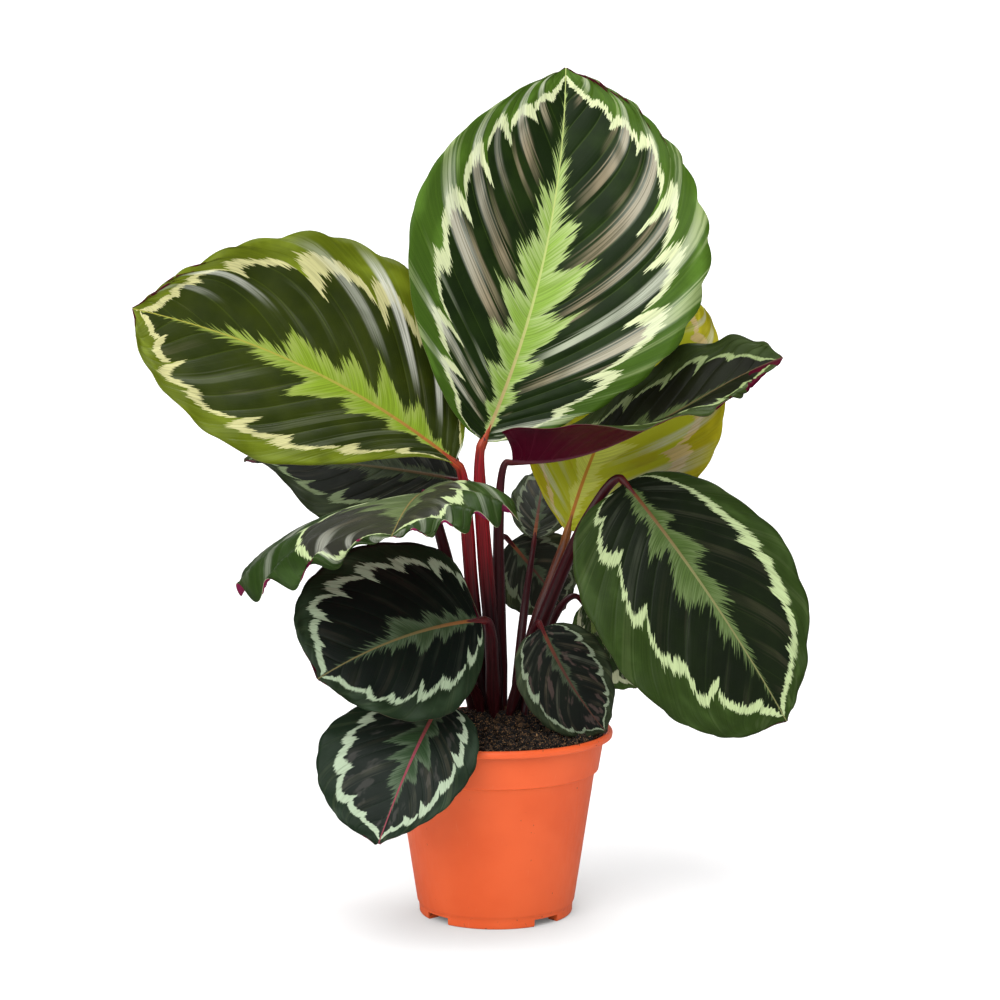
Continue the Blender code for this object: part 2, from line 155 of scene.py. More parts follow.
LEAVES = {
    # crown leaf, upright and facing the front
    "leaf01": leaf(
        base=(-7, 5, 283), tip=(42, 50, 501.5), face=(0.22, -0.92, 0.22), halves=(90, 96),
        forms=((1.0, 0.58, 0.74), (1.08, 0.75, 0.66)), root=(1, 1), rise=(-5, 1, 200), neck=12,
        radii=(3.1, 2.7), look="bright", slot="leaf_bright", arch=0.03, sway=0.045,
        cups=((8, 8), (5, 5)), fold=14, wave=(2.0, 6, 0.0, 1.0), veins=19, ripple=0.7,
        frills=(0.5, 3.4), fine=(168, 30)),
    # big leaf to the left, facing up and to the front
    "leaf02": leaf(
        base=(-24, -3, 271), tip=(-206, -35, 362), face=(-0.15, -0.8, 0.6), halves=(73, 84),
        forms=((1.3, 1.0, 0.41), (0.9, 0.75, 0.84)), root=(-6, 5), rise=(-18, 4, 200), neck=8,
        radii=(3.1, 2.6), look="olive", slot="leaf_olive", arch=0.02, sway=0.055,
        cups=((10, 10), (10, 10)), fold=5, wave=(2.0, 6, 0.0, 1.0), veins=15, ripple=0.6,
        frills=(0.5, 3.3), fine=(150, 30)),
    # half-rolled leaf to the right, its underside showing
    "leaf03": leaf(
        base=(10, 13, 270), tip=(168, 14, 331), face=(-0.25, 0.1, 1.0), halves=(41, 58),
        forms=((0.95, 0.55, 0.45), (0.8, 0.9, 0.35)), root=(4, 9), rise=(0, 12, 222), neck=6,
        radii=(3.0, 1.9), look="rolled", arch=-0.06, curl=0.03, twist=(10, -50),
        cups=((15, 0), (15, 0)), fold=25, wave=(3.0, 5, 0.0, 1.0), lead=(0.0, -0.12), veins=14,
        ripple=0.6, frills=(0.5, 2.0), fine=(140, 26)),
    # yellow-green leaf behind, upright
    "leaf04": leaf(
        base=(44, 50, 224), tip=(120, 85, 367), face=(-0.1, -0.9, 0.4), halves=(52, 70),
        forms=((0.95, 0.95, 0.5), (0.9, 0.66, 0.5)), root=(14, 8), rise=(16, 14, 160), neck=25,
        radii=(3.1, 2.6), look="yellow", slot="leaf_olive", stalk="stalk_brown", arch=0.02,
        sway=-0.05, cups=((10, 10), (10, 10)), fold=5, wave=(2.0, 5, 0.0, 1.0), veins=14,
        ripple=0.7, fine=(130, 26)),
    # big dark leaf hanging at the right
    "leaf05": leaf(
        base=(77, 5, 258), tip=(170, -25, 122), face=(0.25, -0.85, 0.4), halves=(61, 71),
        forms=((0.97, 0.46, 0.66), (0.95, 0.3, 0.36)), root=(9, 0), rise=(38, 9, 212), neck=11,
        radii=(3.1, 2.3), look="hanging", fold=-3, wave=(2.0, 5, 0.0, 1.0), veins=14,
        fine=(140, 28)),
    # small dark leaf over the front right of the rim
    "leaf06": leaf(
        base=(27, -28, 176), tip=(64, -20, 114), face=(0.1, -0.8, 0.5), halves=(28, 29),
        forms=((0.85, 0.5, 0.5), (0.85, 0.4, 0.6)), root=(8, -9), rise=(16, -10, 152), neck=5,
        radii=(2.2, 1.7), look="mottled", arch=0.03, sway=0.05, veins=10, ripple=0.35,
        fine=(96, 20)),
    # small leaf behind the big right one
    "leaf07": leaf(
        base=(54, 40, 180), tip=(86, 45, 129), face=(0.1, -0.8, 0.5), halves=(22, 24),
        root=(17, -1), rise=(26, 14, 165), neck=14, radii=(2.2, 1.6), look="patched",
        slot="leaf_grey", veins=9, ripple=0.25, fine=(80, 18)),
    # large leaf lying flat at the left, pointing to the front
    "leaf08": leaf(
        base=(-42, -4, 253), tip=(-55, -150, 246), face=(-0.05, 0.0, 1.0), halves=(66, 118),
        root=(-14, 9), rise=(-20, 12, 180), neck=30, radii=(3.1, 2.4), look="flat", arch=0.03,
        cups=((-110, -70), (-38, -75)), fold=22, wave=(6.0, 6, 0.0, 1.4), lead=(0.0, -0.1),
        twist=(-22, -14), veins=14, ripple=0.6, fine=(150, 32)),
    # round dark leaf at the left
    "leaf09": leaf(
        base=(-9, -36, 182), tip=(-98, -88, 158), face=(-0.15, -0.9, 0.35), halves=(51, 59),
        forms=((1.0, 0.55, 0.5), (1.0, 0.2, 0.27)), root=(-1, -9), rise=(-3, -20, 168), neck=6,
        radii=(3.0, 2.3), look="round", sway=0.04, wave=(1.5, 4, 0.0, 1.0), ripple=0.25,
        fine=(130, 28)),
    # dark leaf hanging in front of the pot
    "leaf10": leaf(
        base=(-32, -50, 136), tip=(-65, -98, 67), face=(-0.1, -0.9, 0.4), halves=(34, 52),
        forms=((0.8, 0.45, 0.7), (1.08, 0.45, 0.4)), root=(-9, -7), rise=(-12, -14, 150), neck=16,
        radii=(2.2, 1.8), look="pink_ribbed", arch=0.1, wave=(1.5, 4, 0.0, 1.0), lead=(0.0, 0.02),
        fine=(120, 26)),
    # small grey leaf behind
    "leaf11": leaf(
        base=(24, 70, 217), tip=(31, 110, 255), face=(0.0, -0.6, 0.7), halves=(17, 20),
        root=(12, 17), rise=(14, 26, 165), neck=16, radii=(2.2, 1.5), look="grey", slot="leaf_grey",
        veins=9, fine=(72, 16)),
    # small dark leaf hanging behind the stalks
    "leaf12": leaf(
        base=(9, 78, 213), tip=(42, 86, 171), face=(0.0, -0.9, 0.3), halves=(28, 26), root=(3, 19),
        rise=(0, 40, 190), neck=12, radii=(2.2, 1.6), look="grey", slot="leaf_grey", veins=9,
        fine=(80, 18)),
    # dark leaf under the big left one
    "leaf13": leaf(
        base=(-22, 48, 255), tip=(-155, 80, 264), face=(-0.1, -0.75, 0.6), halves=(42, 45),
        forms=((0.9, 0.5, 2.2), (0.95, 0.55, 0.5)), root=(-4, 13), rise=(-5, 26, 190), neck=16,
        radii=(2.8, 2.2), look="shaded", wave=(2.0, 5, 0.0, 1.0), ripple=0.25, fine=(120, 24)),
}

# Colours are linear red, green and blue.
MAROON = (0.06, 0.0015, 0.01)
PLUM = (0.2, 0.012, 0.06)
# These four colours are painted highlights: gloss painted into the blades' colour
SHEEN = (0.42, 0.46, 0.33)  # pale gloss on the swellings between side veins
TAN_SHEEN = (0.33, 0.27, 0.17)
RIM_SHEEN = (0.46, 0.54, 0.25)
GLEAM = (0.66, 0.68, 0.58)
POT_COLORS = ((0.78, 0.105, 0.02), (0.84, 0.125, 0.028))
SCUFFED = (0.86, 0.24, 0.11)
DIRT = (0.1, 0.04, 0.02)
POT_BOUNCE = (0.24, 0.17, 0.13)  # what the pot throws back on the leaves and the floor

# The stalks' colours from foot to blade, and where the first turns into the second
STEMS = {
    "red": ((0.03, 0.003, 0.005), (0.28, 0.008, 0.014), (0.5, 0.075, 0.025), 0.22, 0.48),
    "maroon": ((0.05, 0.006, 0.008), (0.06, 0.005, 0.009), (0.13, 0.012, 0.012)),
    "brown": ((0.06, 0.006, 0.008), (0.15, 0.035, 0.014), (0.4, 0.15, 0.03)),
}

BLADE_GLOSS = 0.1
BLADE_ROUGHNESS = (0.31, 0.44)
GRAIN_HEIGHT = 0.0004  # of the fibres' relief, in metres
RIB_WIDTHS = (0.0011, 0.0003)  # half the coloured midrib's width at base and tip, in metres
RING_END = 0.99  # rank of the side vein where the pale ring meets the midrib
RING_NEAREST = 0.15  # how near the ring comes to the midrib before that
RING_POINT = 0.56  # how straight its two sides run together there


def look(dark, feather, ring, rim, rib, edge, under=MAROON, rib_foot=(0.3, 0.1, 0.04),
         places=(0.72, 0.72), slants=(0.0, 0.0), width=0.045, scallops=(0.1, 0.1), lobes=9,
         shifts=(0.0, 0.0), reach=0.3, jag=0.035, closing=0.7, fringe=0.15, sheen=0.12,
         gleam=(0.0, 0.0), patches=0.0, patch=(0.12, 0.08, 0.07), stem="maroon"):
    """Colours of one blade's pattern, and where they lie in its left and right half.

    dark: the field. feather: the pale middle. ring: the pale line. rim: the band outside it.
    rib, rib_foot: the midrib. edge, under: the cut edge and the underside.
    places: the ring's place from 0 at the midrib to 1 at the margin. slants: how much further
    out it lies at the tip than at the base. width: half the ring's width.
    scallops, lobes, shifts: depth, count and offset of the ring's scallops.
    closing: rank of the side vein where the ring starts to run in to the tip.
    reach: how far the feather spreads. jag: how ragged the borders are.
    fringe: how much of the ring's colour the feather's border takes.
    sheen: painted highlights between the side veins. gleam: broad white ones on the two halves.
    patches, patch: strength and colour of the patches. stem: entry of STEMS.
    """
    return dict(locals())


LOOKS = {
    "bright": look(
        dark=(0.008, 0.018, 0.003), feather=(0.25, 0.4, 0.06), ring=(0.68, 0.74, 0.42),
        rim=(0.045, 0.095, 0.008), rib=(0.5, 0.58, 0.19), rib_foot=(0.5, 0.36, 0.16),
        edge=(0.18, 0.22, 0.06), places=(0.74, 0.78), scallops=(0.12, 0.12), lobes=10,
        shifts=(0.1, 0.4), reach=0.32, jag=0.05, closing=0.68, fringe=0.4, sheen=1.0, width=0.037,
        gleam=(0.45, 0.3), stem="red"),
    "olive": look(
        dark=(0.02, 0.03, 0.003), feather=(0.2, 0.3, 0.02), ring=(0.58, 0.56, 0.26),
        rim=(0.088, 0.115, 0.004), rib=(0.34, 0.32, 0.05), rib_foot=(0.36, 0.12, 0.03),
        under=(0.075, 0.006, 0.014), edge=(0.2, 0.18, 0.03), places=(0.77, 0.76),
        scallops=(0.12, 0.1), shifts=(0.3, 0.6), width=0.039, reach=0.32, jag=0.05, closing=0.74,
        fringe=0.22, sheen=0.1, gleam=(0.0, 1.0), stem="red"),
    "rolled": look(
        dark=(0.007, 0.008, 0.003), feather=(0.04, 0.06, 0.014), ring=(0.3, 0.38, 0.16),
        rim=(0.025, 0.04, 0.008), rib=(0.12, 0.07, 0.03), under=(0.06, 0.0008, 0.01),
        edge=(0.1, 0.03, 0.02), places=(0.66, 0.72), width=0.03, sheen=0.0),
    "yellow": look(
        dark=(0.43, 0.47, 0.02), feather=(0.56, 0.62, 0.09), ring=(0.66, 0.52, 0.2),
        rim=(0.36, 0.33, 0.01), rib=(0.5, 0.26, 0.03), rib_foot=(0.5, 0.18, 0.03),
        under=(0.11, 0.02, 0.018), edge=(0.24, 0.16, 0.03), places=(0.74, 0.74), width=0.05,
        lobes=8, sheen=0.25, gleam=(0.35, 0.45), patches=0.3, patch=(0.4, 0.32, 0.01),
        stem="brown"),
    "hanging": look(
        dark=(0.006, 0.01, 0.004), feather=(0.065, 0.11, 0.026), ring=(0.46, 0.56, 0.28),
        rim=(0.02, 0.038, 0.006), rib=(0.2, 0.2, 0.08), rib_foot=(0.16, 0.05, 0.02),
        edge=(0.1, 0.09, 0.04), places=(0.72, 0.62), lobes=7, shifts=(0.4, 0.1), reach=0.25,
        jag=0.055, scallops=(0.03, 0.17), width=0.038, sheen=0.06),
    "mottled": look(
        dark=(0.008, 0.01, 0.008), feather=(0.024, 0.034, 0.017), ring=(0.26, 0.32, 0.21),
        rim=(0.018, 0.026, 0.012), rib=(0.08, 0.035, 0.025), rib_foot=(0.13, 0.035, 0.02),
        edge=(0.1, 0.05, 0.03), places=(0.74, 0.8), width=0.028, scallops=(0.07, 0.07), lobes=8,
        reach=0.2, patches=0.4, patch=(0.13, 0.085, 0.075)),
    "patched": look(
        dark=(0.022, 0.042, 0.012), feather=(0.12, 0.19, 0.035), ring=(0.55, 0.6, 0.36),
        rim=(0.035, 0.07, 0.011), rib=(0.22, 0.14, 0.06), edge=(0.16, 0.12, 0.05),
        places=(0.62, 0.62), width=0.1, lobes=7, patches=0.4, patch=(0.45, 0.47, 0.33)),
    "flat": look(
        dark=(0.03, 0.03, 0.022), feather=(0.085, 0.12, 0.04), ring=(0.5, 0.6, 0.3),
        rim=(0.018, 0.038, 0.006), rib=(0.26, 0.18, 0.06), rib_foot=(0.26, 0.18, 0.06), under=PLUM,
        edge=(0.4, 0.42, 0.24), places=(0.48, 0.35), slants=(0.5, 1.7), width=0.036, closing=0.8,
        scallops=(0.08, 0.06), reach=0.46, gleam=(0.2, 0.35)),
    "round": look(
        dark=(0.004, 0.007, 0.005), feather=(0.036, 0.064, 0.026), ring=(0.36, 0.46, 0.3),
        rim=(0.01, 0.02, 0.008), rib=(0.16, 0.13, 0.05), rib_foot=(0.28, 0.1, 0.03),
        edge=(0.08, 0.07, 0.03), places=(0.7, 0.76), width=0.042, scallops=(0.12, 0.11), lobes=8,
        shifts=(0.2, 0.5), reach=0.26, jag=0.05, sheen=0.03),
    "pink_ribbed": look(
        dark=(0.009, 0.014, 0.01), feather=(0.03, 0.06, 0.024), ring=(0.42, 0.52, 0.36),
        rim=(0.01, 0.02, 0.01), rib=(0.26, 0.05, 0.07), rib_foot=(0.3, 0.09, 0.06),
        edge=(0.12, 0.07, 0.04), width=0.052, lobes=8, shifts=(0.1, 0.6), reach=0.36, sheen=0.08,
        patches=0.25, patch=(0.12, 0.11, 0.1)),
    "grey": look(
        dark=(0.024, 0.029, 0.02), feather=(0.07, 0.1, 0.055), ring=(0.2, 0.25, 0.15),
        rim=(0.026, 0.038, 0.015), rib=(0.12, 0.06, 0.045), edge=(0.08, 0.06, 0.04), lobes=7,
        width=0.05, sheen=0.2),
    "shaded": look(
        dark=(0.007, 0.009, 0.006), feather=(0.028, 0.04, 0.018), ring=(0.19, 0.25, 0.12),
        rim=(0.014, 0.022, 0.006), rib=(0.08, 0.07, 0.03), rib_foot=(0.1, 0.06, 0.03),
        edge=(0.07, 0.06, 0.03), places=(0.62, 0.62), lobes=8, reach=0.24, width=0.035, jag=0.05),
}


def supply(node, values):
    """Sets inputs of a shader node, or links the signals that feed them."""
    for key, value in values.items():
        if isinstance(value, Signal):
            value.feed(node.inputs[key])
        else:
            node.inputs[key].default_value = value


def wire(tree, kind, values=None, **settings):
    """A new shader node of a kind. Its values are numbers, or the signals that feed it."""
    node = tree.nodes.new("ShaderNode" + kind)
    for key, value in settings.items():
        setattr(node, key, value)
    supply(node, values or {})
    return node


class Signal:
    """What comes out of a shader node. Sums and products with it add Math nodes to its tree."""

    def __init__(self, socket):
        self.socket = socket

    def feed(self, socket):
        socket.id_data.links.new(self.socket, socket)

    __add__ = __radd__ = lambda self, other: calc("ADD", self, other)
    __sub__ = lambda self, other: calc("SUBTRACT", self, other)
    __rsub__ = lambda self, other: calc("SUBTRACT", other, self)
    __mul__ = __rmul__ = lambda self, other: calc("MULTIPLY", self, other)
    __truediv__ = lambda self, other: calc("DIVIDE", self, other)
    __abs__ = lambda self: calc("ABSOLUTE", self)


def beside(source, kind, values, output=0, **settings):
    """Signal from a new node in the tree that the source signal is in."""
    return Signal(wire(source.socket.id_data, kind, values, **settings).outputs[output])


def calc(operation, *values):
    source = next(value for value in values if isinstance(value, Signal))
    return beside(source, "Math", dict(enumerate(values)), operation=operation)


def fade(value, start, end, low=0.0, high=1.0):
    """Smooth change from low to high as value goes from start to end."""
    return beside(value, "MapRange",
                  {"Value": value, "From Min": start, "From Max": end, "To Min": low,
                   "To Max": high}, interpolation_type="SMOOTHSTEP")


def blend(share, under, over):
    """Colour that goes from under to over as share goes from 0 to 1."""
    colors = [(*c, 1.0) if isinstance(c, tuple) else c for c in (under, over)]
    return beside(share, "Mix", {0: share, 6: colors[0], 7: colors[1]}, 2, data_type="RGBA")


def speckle(vector, scale, detail=2.0, roughness=0.5):
    values = {"Vector": vector, "Scale": scale, "Detail": detail, "Roughness": roughness}
    return beside(vector, "TexNoise", values, "Fac")


def point(x, y, z=0.0):
    return beside(x, "CombineXYZ", {0: x, 1: y, 2: z})


def object_place(tree):
    return Signal(wire(tree, "TexCoord").outputs["Object"])


def ray(tree, kind):
    return Signal(wire(tree, "LightPath").outputs[kind])


def uv_parts(tree, name):
    """The two coordinates of a UV map."""
    place = Signal(wire(tree, "UVMap", uv_map=name).outputs[0])
    parts = wire(tree, "SeparateXYZ", {0: place}).outputs
    return Signal(parts[0]), Signal(parts[1])


def new_group(name, inputs):
    """Node group with number inputs {name: default}, and the signals that come from them."""
    tree = bpy.data.node_groups.new(name, "ShaderNodeTree")
    for key, default in inputs.items():
        socket = tree.interface.new_socket(name=key, in_out="INPUT", socket_type="NodeSocketFloat")
        socket.default_value = default
    source = tree.nodes.new("NodeGroupInput")
    return tree, {key: Signal(source.outputs[key]) for key in inputs}


def close_group(tree, outputs):
    """Gives a node group its outputs, which are {name: signal}."""
    for key in outputs:
        tree.interface.new_socket(name=key, in_out="OUTPUT", socket_type="NodeSocketFloat")
    end = tree.nodes.new("NodeGroupOutput")
    for key, signal in outputs.items():
        signal.feed(end.inputs[key])


# Inputs of the marking group that a look gives for each half of a blade, and for the whole blade
HALF_INPUTS = {"Ring": "places", "Scallop": "scallops", "Shift": "shifts", "Slant": "slants",
               "Gleam": "gleam"}
BLADE_INPUTS = {"Ring Width": "width", "Lobes": "lobes", "Feather": "reach", "Jag": "jag",
                "Closing": "closing"}


def marking_values(finish):
    """A look's values by the names of the marking group's inputs."""
    values = {key: float(finish[entry]) for key, entry in BLADE_INPUTS.items()}
    for key, entry in HALF_INPUTS.items():
        values[key + " Left"], values[key + " Right"] = finish[entry]
    return values


def marking_group():
    """Masks of a blade's pattern, in its own coordinates along and across the side veins."""
    start = marking_values(LOOKS["round"])
    tree, given = new_group("leaf_marking", {**start, "Veins": 9.0, "Seed": 0.0})
    along, across = uv_parts(tree, "veins")
    side = across * 2.0 - 1.0
    out_way = abs(side)
    right = calc("GREATER_THAN", side, 0.0)
    strand = right * 3.7 + along + given["Seed"]

    def by_side(key):
        return beside(right, "Mix", {0: right, 2: given[key + " Left"], 3: given[key + " Right"]})

    def fibres(across_veins, along_veins, layer=0.0, detail=2.0):
        """Noise drawn out along the side veins."""
        return speckle(point(strand * across_veins, out_way * along_veins, layer), 1.0, detail)

    def in_lobes(shift, seed):
        """Place within a lobe, from 0 to 1, and a number between 0 and 1 that the lobe keeps."""
        sway = speckle(point(strand * 4.0, seed), 1.0, 0.0)
        place = along * given["Lobes"] + shift + sway
        number = right * 31.0 + calc("FLOOR", place) + given["Seed"] + seed
        draw = beside(number, "TexWhiteNoise", {"W": number}, "Value", noise_dimensions="1D")
        return calc("FRACT", place), draw

    # Ragged borders, as the colours run out along the fibres
    ragged = (fibres(75.0, 2.2) - 0.5) * 1.8 + (fibres(230.0, 4.0) - 0.5) * 3.0
    ragged = ragged * given["Jag"]

    # The pale ring: hooked scallops that run together in a point near the tip
    turn, draw = in_lobes(by_side("Shift"), 0.0)
    hook = calc("POWER", turn, 5.0)
    bulge = calc("SINE", turn * math.pi) * 0.6 - 0.38 - 1.5 * (hook * draw)
    centre = bulge * by_side("Scallop") + by_side("Ring") + (along - 0.5) * by_side("Slant")
    closing = (RING_END - along) / (RING_END - given["Closing"])
    closing = calc("POWER", beside(closing, "Clamp", {"Value": closing}), RING_POINT)
    off = out_way + ragged - calc("MAXIMUM", centre, RING_NEAREST) * closing
    swell = calc("SINE", hook * math.pi) * 0.5 + 0.6 + draw * 0.6
    swell = swell * (1.8 - 0.8 * closing) * fade(along, 1.0, 0.97)
    near = abs(off) / (given["Ring Width"] * swell + 0.0005)

    # Painted highlights on the swellings between side veins: crests, hairlines beside them, gleams
    chance = calc("FRACT", draw * 7.3)
    warmth = calc("FRACT", draw * 23.7)
    rising = turn - (warmth * 0.22 + 0.16)
    breadth = chance * 0.16 + 0.1
    crest = fade(rising, 0.0, 0.04) * fade(rising - breadth, 0.05, 0.0)
    hair = fade(abs(rising - (breadth + 0.1)), 0.022, 0.008, 0.0, 0.8)
    crest = calc("MAXIMUM", crest, hair) * fade(chance, 0.15, 0.5)
    broad = fade(rising, -0.06, 0.04) * fade(rising - breadth * 1.3, 0.12, 0.0)

    # The feather: teeth along the midrib that shorten towards both ends
    beat, draw = in_lobes(right * 0.45 + 0.3, 5.0)
    tooth = (1.0 - abs(beat * 2.0 - 1.0)) * (draw * 0.6 + 0.5)
    taper = fade(along, 0.93, 0.55) * fade(along, 0.0, 0.5, 0.15, 1.0)
    inner = ragged * 1.9 + out_way - (tooth * 0.75 + 0.3) * (taper * given["Feather"])

    # Side veins, painted highlight streaks between them, and blotches of painted gloss
    veins = along * given["Veins"]
    rung = abs(calc("FRACT", veins) * 2.0 - 1.0)
    band = fibres(13.0, 1.6, 3.0, 1.0)
    flank = calc("FRACT", veins + band)
    flank = fade(flank, 0.5, 0.58) * fade(flank, 0.86, 0.74) * fade(band, 0.5, 0.66)
    thread = fibres(210.0, 2.0, 5.0)
    worn = fibres(9.0, 5.0, 13.0, 1.0)
    wash = fade(thread, 0.28, 0.58, 0.35, 1.0) * fade(worn, 0.25, 0.6, 0.45, 1.0)
    wash = wash * fade(out_way, 0.1, 0.34)
    shine = broad * fade(thread, 0.3, 0.55, 0.3, 1.0) * fade(chance, 0.1, 0.4)
    shine = shine * by_side("Gleam") * fade(worn, 0.25, 0.5, 0.35, 1.0)
    shine = shine * fade(out_way, 0.3, 0.6) * fade(out_way, 1.0, 0.8)

    close_group(tree, {
        "Ring Mask": fade(near, 1.12, 0.88),
        "Rim Mask": fade(off, -0.02, 0.02),
        "Feather Mask": fade(inner, 0.015, -0.015),
        "Fringe": fade(inner, -0.16, -0.01),
        "Vein Mask": fade(rung, 0.9, 1.0),
        "Streak": wash * calc("MAXIMUM", crest, flank * 0.7),
        "Warmth": along * 0.8 + (warmth * 0.6 - 0.2),
        "Gleam": shine,
        "Grain": thread,
        "Wear": worn,
        "Patch": fade(fibres(13.0, 3.4, 9.0, 3.0), 0.56, 0.64),
        "Height": thread * 0.5 + fade(rung, 0.8, 1.0) * -0.6,
    })
    return tree


def masks_of(tree, marking, values):
    """The marking group's masks in a material, by name."""
    group = wire(tree, "Group", values, node_tree=marking)
    return {output.name: Signal(output) for output in group.outputs}


def blank_material(name):
    mat = bpy.data.materials.new(name)
    mat.use_nodes = True
    return mat, mat.node_tree, mat.node_tree.nodes["Principled BSDF"]


def coat(shader, color, roughness, specular=0.5):
    """Colour, roughness and gloss of a finish; color and roughness may be signals."""
    supply(shader, {"Base Color": color, "Roughness": roughness, "Specular IOR Level": specular})


def raise_surface(shader, height, strength, distance):
    """Bump of the given height into the shader; distance is in metres."""
    values = {"Height": height, "Strength": strength, "Distance": distance}
    beside(height, "Bump", values).feed(shader.inputs["Normal"])


def tint(color, factor, lift=0.0):
    return tuple(factor * c + lift for c in color)


def between(one, other, share):
    return tuple(a + share * (b - a) for a, b in zip(one, other))


def blade_material(name, spec, finish, marking, seed):
    """Upper side of a blade: dark field, pale feather and ring, greener rim, and its midrib."""
    mat, tree, shader = blank_material(name + "_upper")
    values = {**marking_values(finish), "Veins": float(spec["veins"]), "Seed": seed}
    masks = masks_of(tree, marking, values)
    grain = masks["Grain"]
    streak = masks["Streak"]
    run, across = uv_parts(tree, "span")
    length = float(leaf_frame(spec)[2]) * MM
    spot = object_place(tree)
    cloud = speckle(spot, 45.0, 3.0)

    field = blend(fade(cloud, 0.35, 0.7, 0.0, 0.15), finish["dark"], finish["rim"])
    field = blend(masks["Patch"] * finish["patches"], field, finish["patch"])
    # Painted highlights: grey-white and tan gloss streaks between the side veins
    sheen = blend(fade(masks["Warmth"], 0.35, 0.65), SHEEN, TAN_SHEEN)
    field = blend(streak * finish["sheen"], field, sheen)

    rim = blend(fade(grain, 0.3, 0.75, 0.0, 0.5), finish["rim"], tint(finish["rim"], 1.5))
    # Paler blotches on the rim: painted gloss
    mottle = fade(masks["Wear"], 0.4, 0.75) * fade(cloud, 0.35, 0.6)
    rim = blend(mottle * 0.7, rim, tint(finish["rim"], 2.4, 0.008))
    # The painted highlight streaks run on over the rim
    rim = blend(streak * (0.6 * finish["sheen"]), rim, RIM_SHEEN)
    color = blend(masks["Rim Mask"], field, rim)

    feather = blend(fade(grain, 0.3, 0.7), tint(finish["feather"], 0.8),
                    tint(finish["feather"], 1.2))
    feather = blend(masks["Fringe"] * fade(grain, 0.25, 0.6), feather,
                    between(finish["feather"], finish["ring"], finish["fringe"]))
    color = blend(masks["Feather Mask"], color, feather)
    ring = blend(fade(grain, 0.25, 0.6), tint(finish["ring"], 0.72), finish["ring"])
    color = blend(masks["Ring Mask"], color, ring)
    color = blend(masks["Vein Mask"] * 0.15, color, between(finish["dark"], finish["feather"], 0.5))
    # Painted highlight: broad white gleams over the two halves
    color = blend(masks["Gleam"], color, GLEAM)

    rib_width = fade(run, 0.0, length, *RIB_WIDTHS)
    rib = blend(fade(run, 0.0, 0.45 * length), finish["rib_foot"], finish["rib"])
    color = blend(fade(abs(across - 0.5) / rib_width, 1.2, 0.8), color, rib)
    coat(shader, color, fade(speckle(spot, 120.0), 0.3, 0.7, *BLADE_ROUGHNESS), BLADE_GLOSS)
    raise_surface(shader, masks["Height"], 0.5, GRAIN_HEIGHT)
    return mat


def underside_material(name, spec, finish, marking):
    """Underside of a blade: plum or maroon, with paler side veins and a stout midrib."""
    mat, tree, shader = blank_material(name + "_under")
    masks = masks_of(tree, marking, {"Veins": float(spec["veins"])})
    from_rib = abs(uv_parts(tree, "span")[1] - 0.5)
    base = finish["under"]
    color = blend(masks["Grain"], tint(base, 0.7), tint(base, 1.35))
    color = blend(masks["Vein Mask"] * 0.5, color, tint(base, 1.6, 0.01))
    color = blend(fade(from_rib, 0.003, 0.0012), color, tint(base, 1.3, 0.03))
    coat(shader, color, 0.45, 0.05)
    raise_surface(shader, masks["Height"], 0.5, GRAIN_HEIGHT)
    return mat


def edge_material(name, finish):
    mat, tree, shader = blank_material(name + "_edge")
    cloud = speckle(object_place(tree), 160.0)
    coat(shader, blend(cloud, tint(finish["edge"], 0.6), tint(finish["edge"], 1.3)), 0.5)
    return mat


def stalk_material(name, bottom, middle, top, low=0.3, high=0.72):
    """Stalk: its colour changes from foot to blade, with fine lengthwise streaks."""
    mat, tree, shader = blank_material(name)
    up, around = uv_parts(tree, "stalk")
    strand = speckle(point(around * 26.0, up * 6.0), 1.0, 3.0)
    color = blend(fade(up, low, high), bottom, middle)
    color = blend(fade(up, 0.72, 0.97), color, top)
    dark = beside(color, "HueSaturation", {"Value": 0.45, "Color": color})
    color = blend(fade(strand, 0.35, 0.65), dark, color)
    coat(shader, color, 0.32, 0.3)
    raise_surface(shader, strand, 0.4, 0.0006)
    return mat


def pot_material():
    """Terracotta-coloured moulded plastic, satin, with scuffs, and soil dust at rim and foot."""
    mat, tree, shader = blank_material("terracotta_plastic")
    spot = object_place(tree)
    height = beside(spot, "SeparateXYZ", {0: spot}, 2)
    cloud = speckle(spot, 22.0, 3.0)
    color = blend(fade(cloud, 0.35, 0.65), *POT_COLORS)
    long_way = beside(spot, "Mapping", {"Vector": spot, "Scale": (1.0, 1.0, 0.16)})
    scuff = speckle(long_way, 340.0, 4.0, 0.7)
    color = blend(fade(scuff, 0.63, 0.75, 0.0, 0.25), color, SCUFFED)
    grime = speckle(spot, 260.0, 4.0, 0.62)
    foot = fade(height, 0.01, 0.0, 0.0, 0.1)
    rim = fade(height, 0.104, 0.1105, 0.0, 0.07)
    dirt = grime + calc("MAXIMUM", foot, rim)
    color = blend(fade(dirt, 0.7, 0.76, 0.0, 0.8), color, DIRT)
    color = blend(ray(tree, "Is Diffuse Ray"), color, POT_BOUNCE)
    coat(shader, color, fade(scuff, 0.3, 0.7, 0.36, 0.5), 0.35)
    supply(shader, {"Subsurface Weight": 0.08, "Subsurface Radius": (0.004, 0.0015, 0.0008)})
    raise_surface(shader, scuff, 0.12, 0.0003)
    return mat


def soil_material(name, dark, light, scale):
    """Peat: patches of near-black and brown with paler flecks, rough all over."""
    mat, tree, shader = blank_material(name)
    spot = object_place(tree)
    fleck = speckle(spot, 5.0 * scale)
    color = blend(fade(speckle(spot, scale, 4.0, 0.65), 0.53, 0.61), dark, light)
    color = blend(fade(fleck, 0.6, 0.65, 0.0, 0.8), color, tint(light, 5.0))
    coat(shader, color, 0.92)
    raise_surface(shader, fleck, 0.6, 0.0008)
    return mat


def unit(v):
    return v / np.linalg.norm(v, axis=-1, keepdims=True)


def ramp(x, start, end):
    """0 before start, 1 after end, and straight between them."""
    return np.clip((x - start) / (end - start), 0.0, 1.0)


def hump(x, width):
    """1 at x = 0, and down to nothing on both sides over about twice the width."""
    return np.exp(-(x / width) ** 2)


